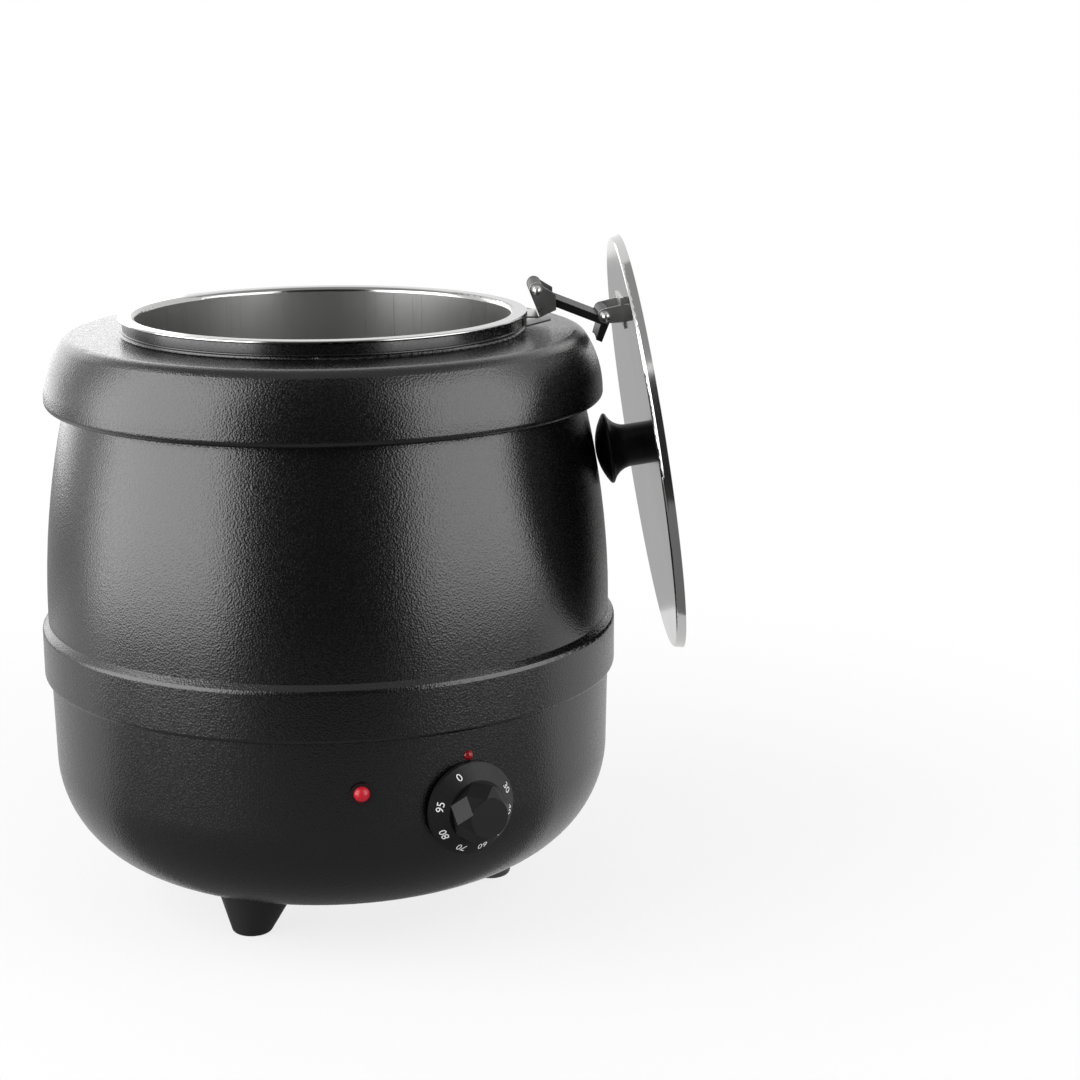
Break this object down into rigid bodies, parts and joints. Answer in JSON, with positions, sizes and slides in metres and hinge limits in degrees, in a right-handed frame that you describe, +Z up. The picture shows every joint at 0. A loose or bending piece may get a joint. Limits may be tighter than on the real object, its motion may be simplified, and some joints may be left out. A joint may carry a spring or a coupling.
{
  "type": "soup kettle",
  "caption": "Black electric soup kettle with a lift-out steel pot, a hinged lid swung open at its side, a temperature dial and a lamp.",
  "frame": {"origin": "on the floor, under the middle of the pot", "axes": "+Z up, +X towards the lid hinge, -Y towards the front where the lamp is"},
  "size_m": [0.3795, 0.3458, 0.3932],
  "materials": {
    "hammertone": "fine hammered powder coat, satin",
    "satin_steel": "satin",
    "bright_steel": "polished",
    "black_plastic": "matte",
    "foot_rubber": "matte",
    "red_plastic": "gloss",
    "zinc": "zinc plated",
    "copper": "drawn",
    "heater_steel": "oxidised",
    "white_plastic": "satin",
    "brown_wire": "satin",
    "blue_wire": "satin",
    "black_wire": "satin",
    "red_wire": "satin"
  },
  "bodies": {
    "kettle": {"barrel_shell": "hammertone", "bottom_cover": "satin_steel", "bulb_and_capillary": "copper", "bulb_clip": "satin_steel", "clamp_nut": "zinc", "clamp_plate": "satin_steel", "clamp_stud": "zinc", "collar_nuts": "zinc", "collar_ring": "hammertone", "collar_studs": "zinc", "cord_gland": "black_plastic", "cover_screws": "zinc", "foot_1": "foot_rubber", "foot_2": "foot_rubber", "foot_3": "foot_rubber", "foot_screws": "zinc", "gland_nut": "black_plastic", "heater_ring": "heater_steel", "index_stud": "red_plastic", "lamp_holder": "black_plastic", "lamp_lead": "red_wire", "lamp_lens": "red_plastic", "lamp_nut": "black_plastic", "live_wire": "brown_wire", "load_wire": "black_wire", "lower_bowl": "hammertone", "neutral_wire": "blue_wire", "rim_clip": "bright_steel", "terminal_block": "white_plastic", "terminal_screws": "zinc", "thermostat_body": "black_plastic", "thermostat_screws": "zinc", "tie_nuts": "zinc", "tie_rods": "satin_steel", "water_vessel": "satin_steel"},
    "pot": {"insert_pot": "satin_steel"},
    "link": {"hinge_link": "black_plastic", "rim_pin": "bright_steel", "lid_pin": "bright_steel"},
    "lid": {"lid": "bright_steel", "lid_knob": "black_plastic", "knob_screw": "zinc", "knob_washer": "zinc", "lid_bracket": "bright_steel"},
    "dial": {"dial_knob": "black_plastic", "dial_shaft": "zinc"}
  },
  "joints": [
    {"name": "link_hinge", "type": "hinge", "parent": "kettle", "child": "link", "pos_m": [0.1236, 0, 0.364], "axis": [0, -1, 0], "range_deg": [0, 196.46]},
    {"name": "lid_hinge", "type": "hinge", "parent": "link", "child": "lid", "pos_m": [0.16338, 0, 0.34829], "axis": [0, -1, 0], "range_deg": [0, 65.23]},
    {"name": "pot_lift", "type": "slide", "parent": "kettle", "child": "pot", "axis": [0, 0, 1], "range_m": [0, 0.5]},
    {"name": "dial_turn", "type": "hinge", "parent": "kettle", "child": "dial", "pos_m": [0.07818, -0.14703, 0.0965], "axis": [0.4695, -0.8829, 0], "range_deg": [-27, 277]}
  ]
}
